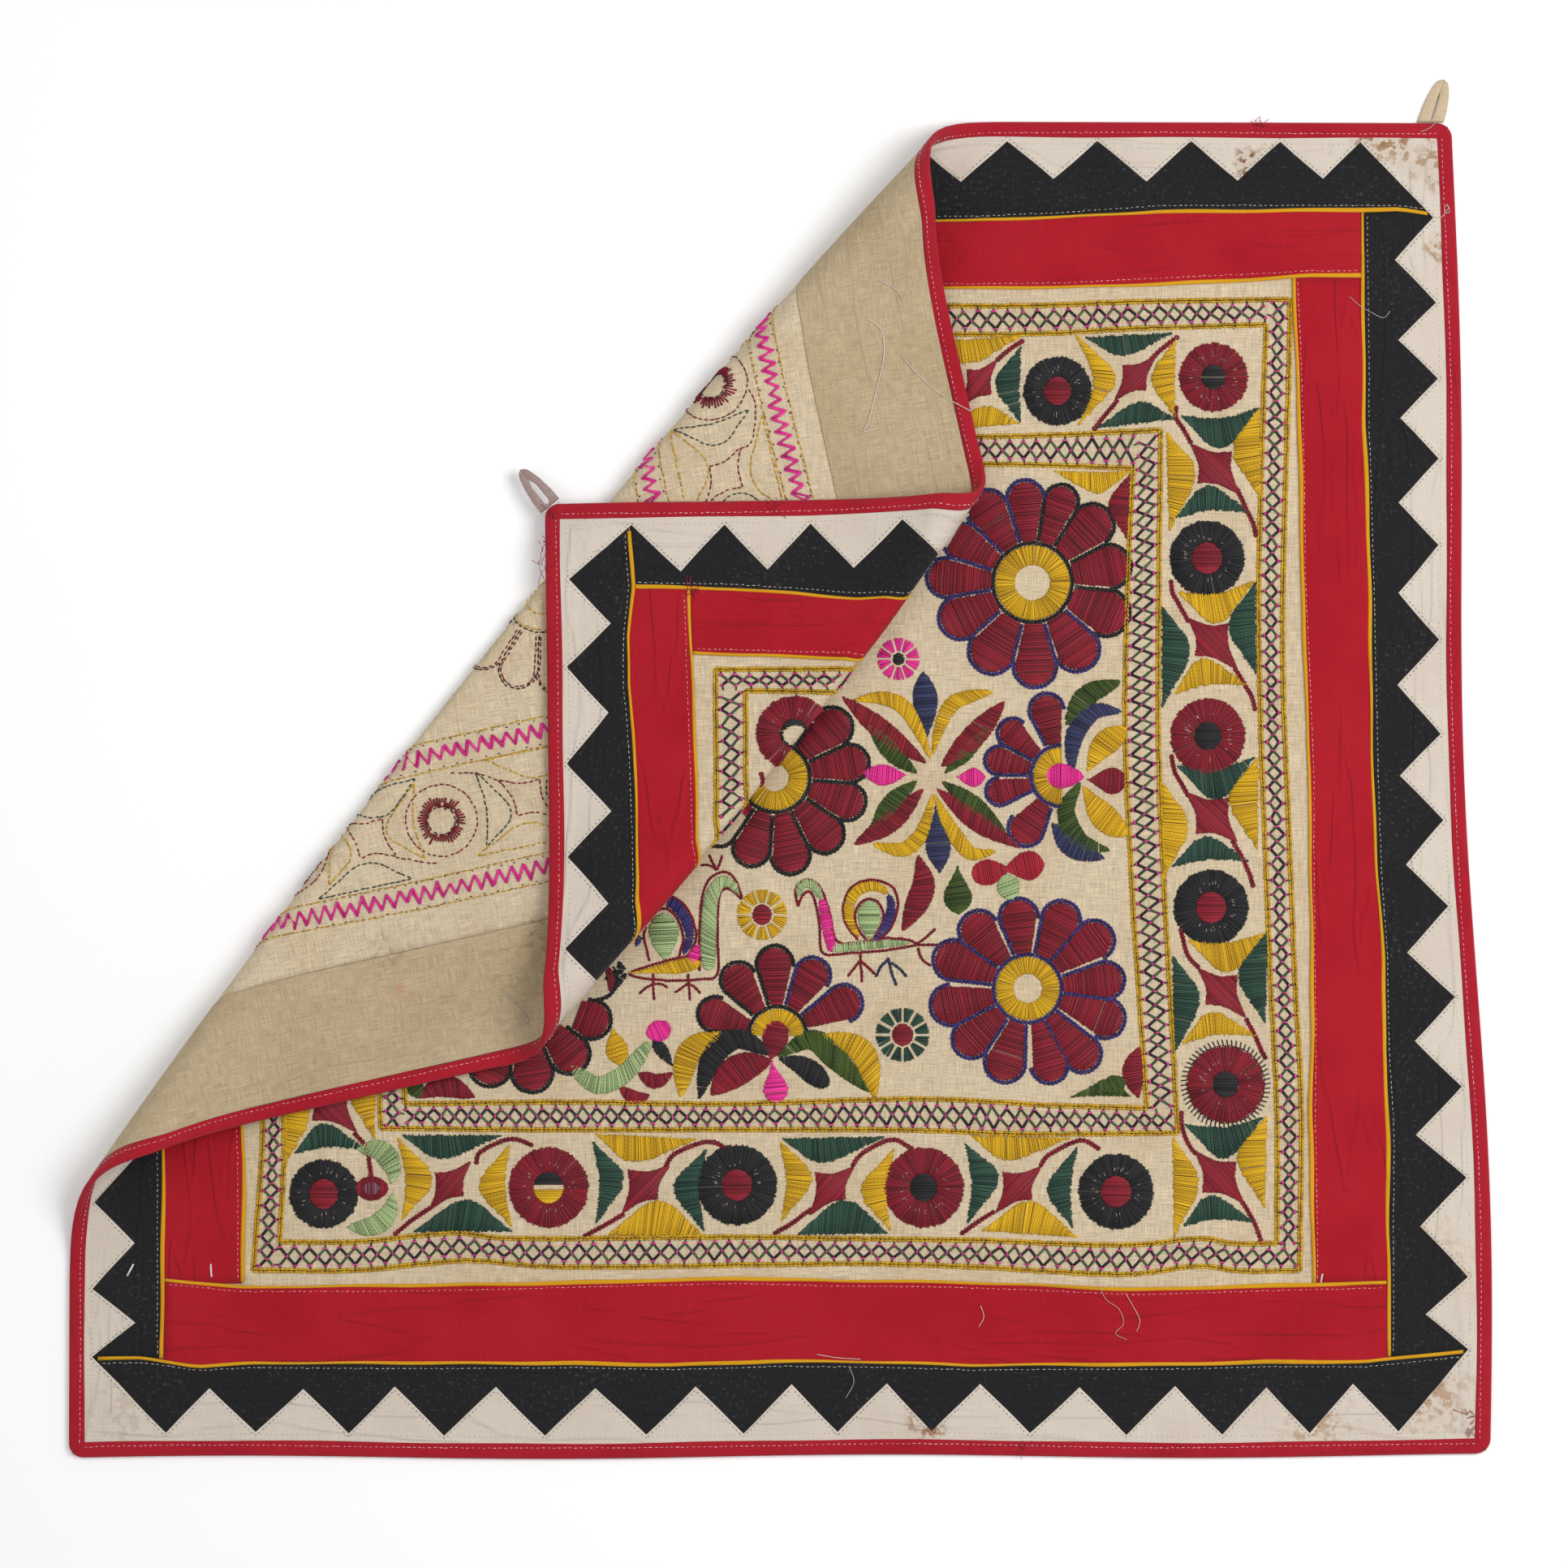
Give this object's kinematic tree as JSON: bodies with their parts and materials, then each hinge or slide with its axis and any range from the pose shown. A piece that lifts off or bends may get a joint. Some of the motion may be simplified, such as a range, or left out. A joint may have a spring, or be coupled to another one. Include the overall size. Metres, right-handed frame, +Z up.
{
  "type": "embroidered wall hanging",
  "caption": "Square embroidered cotton wall hanging with patchwork borders and hanging loops, lying flat with one corner folded over and back.",
  "frame": {"origin": "on the surface that the cloth lies on, under the middle of the whole object's box", "axes": "+Z up out of the front of the cloth, +Y towards its top edge with the hanging loops, +X to the right"},
  "size_m": [0.8764, 0.8492, 0.0468],
  "materials": {
    "ground_cloth": "coarse plain-woven unbleached cotton, embroidered",
    "lining": "plain-woven unbleached cotton, reverse side",
    "red_cotton": "plain-woven cotton, creased",
    "black_cotton": "faded black cotton",
    "white_cotton": "off-white cotton, stained",
    "yellow_piping": "folded yellow cotton",
    "crimson_binding": "crimson cotton, topstitched",
    "striped_tape": "worn striped cotton tape",
    "beige_tape": "beige cotton tape"
  },
  "bodies": {
    "root": {"backing_bottom": "lining", "backing_left": "lining", "backing_right": "lining", "backing_top": "lining", "binding_bottom": "crimson_binding", "binding_left": "crimson_binding", "binding_right": "crimson_binding", "binding_top": "crimson_binding", "black_band_bottom": "black_cotton", "black_band_left": "black_cotton", "black_band_right": "black_cotton", "black_band_top": "black_cotton", "dogtooth_bottom": "white_cotton", "dogtooth_left": "white_cotton", "dogtooth_right": "white_cotton", "dogtooth_top": "white_cotton", "ground_panel": "ground_cloth", "loop_top_left": "striped_tape", "loop_top_right": "beige_tape", "piping_black_bottom": "yellow_piping", "piping_black_left": "yellow_piping", "piping_black_right": "yellow_piping", "piping_black_top": "yellow_piping", "piping_red_bottom": "yellow_piping", "piping_red_left": "yellow_piping", "piping_red_right": "yellow_piping", "piping_red_top": "yellow_piping", "red_band_bottom": "red_cotton", "red_band_left": "red_cotton", "red_band_right": "red_cotton", "red_band_top": "red_cotton"}
  },
  "joints": []
}
